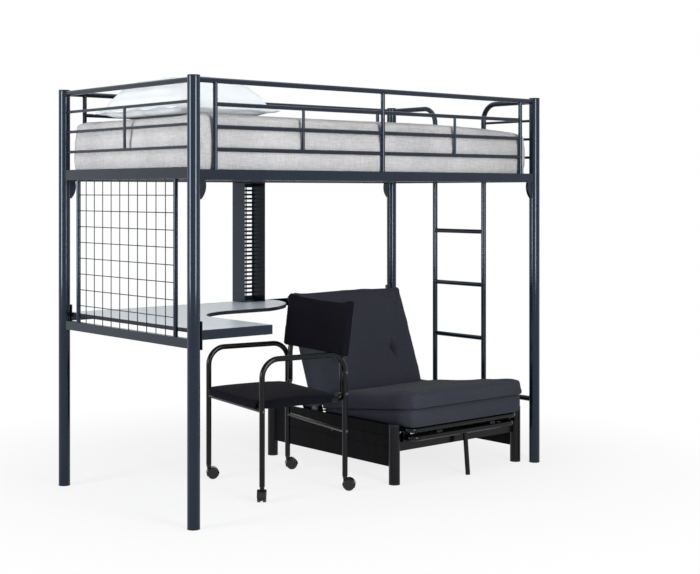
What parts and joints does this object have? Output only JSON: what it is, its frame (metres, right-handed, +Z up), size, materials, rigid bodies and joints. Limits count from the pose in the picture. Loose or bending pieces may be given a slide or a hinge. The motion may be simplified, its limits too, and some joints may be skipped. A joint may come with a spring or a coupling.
{
  "type": "loft bed with desk",
  "caption": "Metal-tube loft bed with a mattress and ladder above a corner desk, disc tower, rolling chair and fold-out padded seat.",
  "frame": {"origin": "centre of the four posts, on the floor", "axes": "+X along the bed from the head (desk) end to the foot (ladder) end, +Y to the back, +Z up"},
  "size_m": [2.0308, 1.0766, 1.799],
  "materials": {
    "frame_paint": "gloss navy-black powder coat",
    "cap_plastic": "satin",
    "slat_wood": "dark stain",
    "mattress_cloth": "linen weave",
    "pillow_cloth": "plain weave",
    "desk_laminate": "pale laminate",
    "desk_band": "satin",
    "bolt_steel": "plain",
    "chair_paint": "gloss black powder coat",
    "seat_board": "painted",
    "chair_cloth": "woven",
    "caster_plastic": "satin",
    "futon_paint": "satin black",
    "futon_board": "black laminate",
    "futon_cloth": "woven twill"
  },
  "bodies": {
    "loft": {"post_front_left": "frame_paint", "post_front_right": "frame_paint", "post_back_left": "frame_paint", "post_back_right": "frame_paint", "head_guard": "frame_paint", "front_guard": "frame_paint", "back_guard": "frame_paint", "ladder_rails": "frame_paint", "ladder_rungs": "frame_paint", "foot_guard": "frame_paint", "end_rails": "frame_paint", "low_end_rails": "frame_paint", "mesh_panel": "frame_paint", "side_rail_front": "frame_paint", "side_rail_back": "frame_paint", "corner_gussets": "frame_paint", "desk_front_rail": "frame_paint", "back_stretcher": "frame_paint", "desk_cross_rail": "frame_paint", "tower_plates": "frame_paint", "tower_sides": "frame_paint", "tower_back": "frame_paint", "post_caps": "cap_plastic", "post_feet": "cap_plastic", "slats": "slat_wood", "mattress": "mattress_cloth", "pillow": "pillow_cloth", "desk_top": "desk_laminate", "desk_edge_band": "desk_band", "desk_bolts": "bolt_steel"},
    "chair": {"chair_frame_near": "chair_paint", "chair_frame_far": "chair_paint", "chair_back_tubes": "chair_paint", "chair_cross_bars": "chair_paint", "chair_bolts": "bolt_steel", "chair_seat_board": "seat_board", "chair_seat_pad": "chair_cloth", "chair_backrest": "chair_cloth", "caster_sockets": "caster_plastic"},
    "caster_1": {"caster_hood_1": "caster_plastic"},
    "wheel_1": {"caster_wheels_1": "caster_plastic"},
    "caster_2": {"caster_hood_2": "caster_plastic"},
    "wheel_2": {"caster_wheels_2": "caster_plastic"},
    "caster_3": {"caster_hood_3": "caster_plastic"},
    "wheel_3": {"caster_wheels_3": "caster_plastic"},
    "caster_4": {"caster_hood_4": "caster_plastic"},
    "wheel_4": {"caster_wheels_4": "caster_plastic"},
    "futon_base": {"futon_legs": "futon_paint", "futon_leg_ends": "cap_plastic", "futon_side_panels": "futon_board", "futon_rails": "futon_paint", "futon_seat_deck": "futon_paint", "futon_deck_slats": "futon_paint", "futon_hardware": "bolt_steel", "futon_seat_pad": "futon_cloth"},
    "futon_pullout": {"futon_pullout_deck": "futon_paint"},
    "futon_back": {"futon_back_frame": "futon_paint", "futon_back_pad": "futon_cloth"},
    "futon_foldout": {"futon_foldout_pad": "futon_cloth"}
  },
  "joints": [
    {"name": "chair_roll", "type": "slide", "parent": "loft", "child": "chair", "axis": [0, -1, 0], "range_m": [0, 0.8]},
    {"name": "caster_swivel_1", "type": "hinge", "parent": "chair", "child": "caster_1", "pos_m": [-0.50865, -0.31343, 0.06], "axis": [0, 0, 1], "continuous": true},
    {"name": "caster_roll_1", "type": "hinge", "parent": "caster_1", "child": "wheel_1", "pos_m": [-0.52038, -0.32707, 0.025], "axis": [0.7581, -0.6521, 0], "continuous": true},
    {"name": "caster_swivel_2", "type": "hinge", "parent": "chair", "child": "caster_2", "pos_m": [-0.42396, 0.20369, 0.06], "axis": [0, 0, 1], "continuous": true},
    {"name": "caster_roll_2", "type": "hinge", "parent": "caster_2", "child": "wheel_2", "pos_m": [-0.40827, 0.19488, 0.025], "axis": [0.4894, 0.8721, 0], "continuous": true},
    {"name": "caster_swivel_3", "type": "hinge", "parent": "chair", "child": "caster_3", "pos_m": [-0.10404, -0.37968, 0.06], "axis": [0, 0, 1], "continuous": true},
    {"name": "caster_roll_3", "type": "hinge", "parent": "caster_3", "child": "wheel_3", "pos_m": [-0.09115, -0.39226, 0.025], "axis": [0.6984, 0.7157, 0], "continuous": true},
    {"name": "caster_swivel_4", "type": "hinge", "parent": "chair", "child": "caster_4", "pos_m": [-0.01935, 0.13743, 0.06], "axis": [0, 0, 1], "continuous": true},
    {"name": "caster_roll_4", "type": "hinge", "parent": "caster_4", "child": "wheel_4", "pos_m": [-0.00366, 0.12862, 0.025], "axis": [0.4894, 0.8721, 0], "continuous": true},
    {"name": "futon_slide_out", "type": "slide", "parent": "loft", "child": "futon_base", "axis": [0, -1, 0], "range_m": [0, 0.9]},
    {"name": "pullout_slide", "type": "slide", "parent": "futon_base", "child": "futon_pullout", "axis": [0, -1, 0], "range_m": [0, 0.42]},
    {"name": "back_recline", "type": "hinge", "parent": "futon_base", "child": "futon_back", "pos_m": [0.536, 0.137, 0.262], "axis": [1, 0, 0], "range_deg": [-69, 0]},
    {"name": "foldout_flip", "type": "hinge", "parent": "futon_base", "child": "futon_foldout", "pos_m": [0.536, -0.5325, 0.3408], "axis": [1, 0, 0], "range_deg": [0, 187]}
  ]
}
